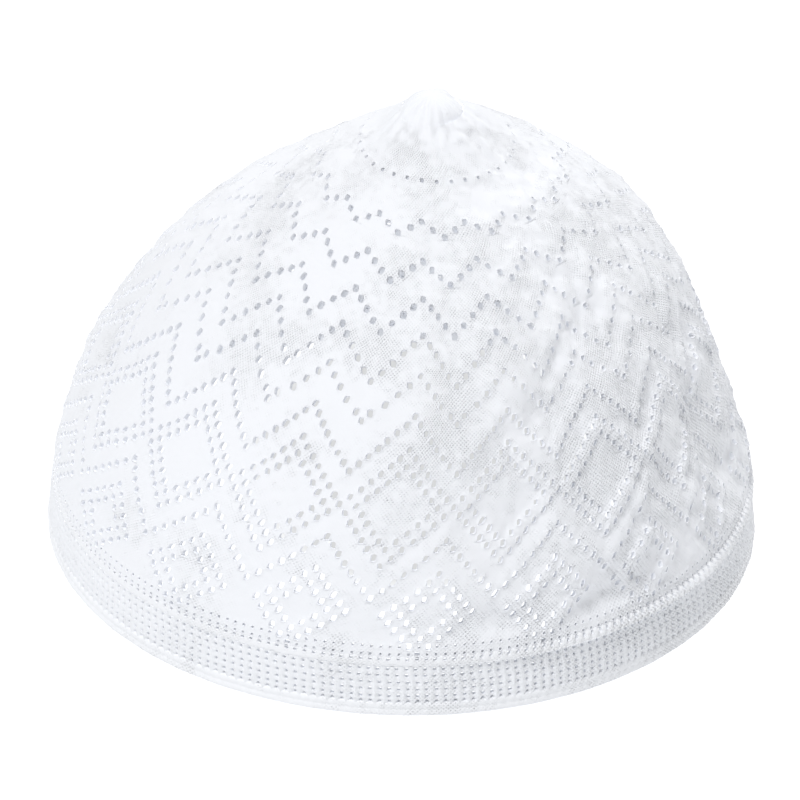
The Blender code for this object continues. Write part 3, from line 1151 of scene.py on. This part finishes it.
@dataclass(frozen=True)
class GatheredTip:
    """The nub where the last stitches are drawn together. Its section runs from its foot to its middle."""

    radii: tuple[float, ...] = (0.0086, 0.0079, 0.0073, 0.0066, 0.0056, 0.0043, 0.0028, 0.0014, 0.0004)
    heights: tuple[float, ...] = (0.1190, 0.1199, 0.1208, 0.1218, 0.1228, 0.1236, 0.1242, 0.12455, 0.1246)
    aside: float = 0.0075
    lean: float = 0.0002  # how much farther aside its top lies
    length: float = 1.03  # front to back, as a share of its width
    folds: tuple[float, float] = (0.00016, 0.00018)
    gather_depth: float = 0.0003
    top_stitch: float = 4.25  # where the stitches end, from the foot
    steps: int = 136
    rings: int = 26

    def build(self, material: bpy.types.Material) -> None:
        """Build the nub: a low dome with folds that run to its middle, closed underneath.

        Args:
            material: the lace's finish.
        """
        cloth = ClothMesh()
        knots = np.arange(len(self.radii), dtype=float)
        climb = np.linspace(0.0, knots[-1], self.rings)
        around, up = np.meshgrid(np.linspace(0.0, math.tau, self.steps + 1), climb)
        radius = monotone_curve(up, knots, np.array(self.radii))
        height = monotone_curve(up, knots, np.array(self.heights))
        shown = smooth_step(up / 2.0) * smooth_step((knots[-1] - up) / 3.0)
        fold = self.folds[0] * np.cos(5.0 * around + 1.3) + self.folds[1] * np.cos(3.0 * around + 0.6 * up)
        gathers = self.gather_depth * (1.0 + np.cos(REPEATS * around)) * (1.0 - smooth_step((up - 3.0) / 4.0))
        radius = radius + fold * shown
        height = height + 0.5 * fold * shown - gathers
        middle = self.aside + self.lean * up / knots[-1]
        across, along = middle + radius * np.cos(around), self.length * radius * np.sin(around)
        points = np.stack([across, along, height], axis=-1)
        stitches = np.stack([around / math.tau * REPEATS, np.minimum(up, self.top_stitch)], axis=-1)
        numbers = cloth.add_grid(points, stitches, closes=True)
        cloth.add_strip(numbers[:-1], numbers[1:])
        for ring in (0, -1):
            centre = points[ring, :-1].mean(axis=0)
            pole = cloth.add_grid(centre[None, None], np.zeros((1, 1, 2)), closes=False)
            edge = numbers[ring] if ring else numbers[ring, ::-1]
            cloth.add_faces(edge[:-1], edge[1:], np.full(len(edge) - 1, pole[0, 0]))
        settle(cloth.build("tip_nub", material), Slot.LACE, "tip")


@dataclass(frozen=True)
class Softbox:
    """A square lamp that faces the cap."""

    name: str
    place: tuple[float, float, float]
    size: float
    power: float  # in watts


@dataclass(frozen=True)
class FloorShade:
    """The oval of painted shade on the floor under the cap, and how brightly the floor glows."""

    middle: tuple[float, float] = (0.004, 0.032)
    halves: tuple[float, float] = (0.045, 0.067)
    inner: float = 0.8  # where it starts to fade, and where it ends, in half-axes
    outer: float = 1.1
    glow_in: float = 0.71
    glow_out: float = 1.28


@dataclass(frozen=True)
class Studio:
    """The pale floor, the soft light and the camera."""

    view_width: float = 0.200
    elevation: float = 31.0  # degrees
    aim: tuple[float, float, float] = (-0.0003, 0.0, 0.0359)
    distance: float = 6.0
    lamps: tuple[Softbox, ...] = (
        Softbox("key_softbox", (-0.48, -0.63, 2.05), 0.8, 31.0),
        Softbox("back_softbox", (1.02, 1.46, 1.33), 1.0, 17.0),
    )
    shade: FloorShade = FloorShade()
    # the glow's colour, which also tints the painted shade under the cap
    floor_glow: tuple[float, float, float, float] = (0.98, 0.99, 1.0, 1.0)
    room_light: float = 0.335

    def build(self) -> None:
        """Set the whole stage up."""
        self._floor()
        for lamp in self.lamps:
            self._hang(lamp)
        self._world()
        self._camera()
        bpy.context.scene.view_settings.view_transform = "Standard"

    def _floor(self) -> None:
        """Lay a white floor that glows, so that it stays white near the rim and greyer under the cap, where shade is
        painted into its glow.

        The painted shade is an oval that is read from the distance to its middle, counted in its half-axes.
        """
        bpy.ops.mesh.primitive_plane_add(size=12.0, location=(0.0, 0.0, -0.0004))
        floor = bpy.context.object
        floor.name = "floor"
        material = bpy.data.materials.new("floor_white")
        material.use_nodes = True
        surface = material.node_tree.nodes["Principled BSDF"]
        surface.inputs["Base Color"].default_value = (0.0, 0.0, 0.0, 1.0)
        surface.inputs["Roughness"].default_value = 1.0
        surface.inputs["Specular IOR Level"].default_value = 0.0
        surface.inputs["Emission Color"].default_value = self.floor_glow
        nodes, links, shade = material.node_tree.nodes, material.node_tree.links, self.shade
        where, oval = nodes.new("ShaderNodeTexCoord"), nodes.new("ShaderNodeMapping")
        distance, glow = nodes.new("ShaderNodeVectorMath"), nodes.new("ShaderNodeMapRange")
        oval.inputs["Scale"].default_value = (*(1.0 / half for half in shade.halves), 0.0)
        oval.inputs["Location"].default_value = (*(-at / half for at, half in zip(shade.middle, shade.halves)), 0.0)
        distance.operation = "LENGTH"
        glow.interpolation_type = "SMOOTHSTEP"
        limits = {"From Min": shade.inner, "From Max": shade.outer, "To Min": shade.glow_in, "To Max": shade.glow_out}
        for name, value in limits.items():
            glow.inputs[name].default_value = value
        links.new(where.outputs["Object"], oval.inputs["Vector"])
        links.new(oval.outputs["Vector"], distance.inputs[0])
        links.new(distance.outputs["Value"], glow.inputs["Value"])
        # painted shade: the floor glows less in the oval under the cap
        links.new(glow.outputs["Result"], surface.inputs["Emission Strength"])
        floor.data.materials.append(material)

    def _hang(self, lamp: Softbox) -> None:
        """Hang one softbox.

        Args:
            lamp: its sizes.
        """
        data = bpy.data.lights.new(lamp.name, "AREA")
        data.size = lamp.size
        data.energy = lamp.power
        light = bpy.data.objects.new(lamp.name, data)
        light.location = lamp.place
        light.rotation_euler = (Vector(self.aim) - light.location).to_track_quat("-Z", "Y").to_euler()
        bpy.context.scene.collection.objects.link(light)

    def _world(self) -> None:
        """Fill the room with an even white light."""
        world = bpy.data.worlds.new("room")
        world.use_nodes = True
        background = world.node_tree.nodes["Background"]
        background.inputs["Color"].default_value = (1.0, 1.0, 1.0, 1.0)
        background.inputs["Strength"].default_value = self.room_light
        bpy.context.scene.world = world

    def _camera(self) -> None:
        """Place the camera far off with a long lens, looking down at the front."""
        data = bpy.data.cameras.new("camera")
        data.sensor_width = 36.0
        data.lens = data.sensor_width * self.distance / self.view_width
        data.clip_end = 50.0
        camera = bpy.data.objects.new("camera", data)
        angle = math.radians(self.elevation)
        camera.location = Vector(self.aim) + self.distance * Vector((0.0, -math.cos(angle), math.sin(angle)))
        camera.rotation_euler = (math.radians(90.0) - angle, 0.0, 0.0)
        bpy.context.scene.collection.objects.link(camera)
        bpy.context.scene.camera = camera


def main() -> None:
    """Build the cap from the hem up, then the stage."""
    logging.basicConfig(level=logging.INFO, format="%(message)s")
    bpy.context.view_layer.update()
    form = CapForm(RimSizes())
    lace = YarnMaterial(LACE_YARN).material
    rib = YarnMaterial(RIB_YARN).material
    edge = YarnMaterial(EDGE_YARN).material
    RolledHem(form).build(edge)
    settle(RibbedBand(form).build("band_ribs", rib), Slot.RIB, "band")
    settle(PicotRidge(form).build("picot_loops", edge), Slot.EDGE, "picot_ridge")
    LaceCrown(form).build(lace)
    GatheredTip().build(lace)
    Studio().build()


if __name__ == "__main__":
    main()
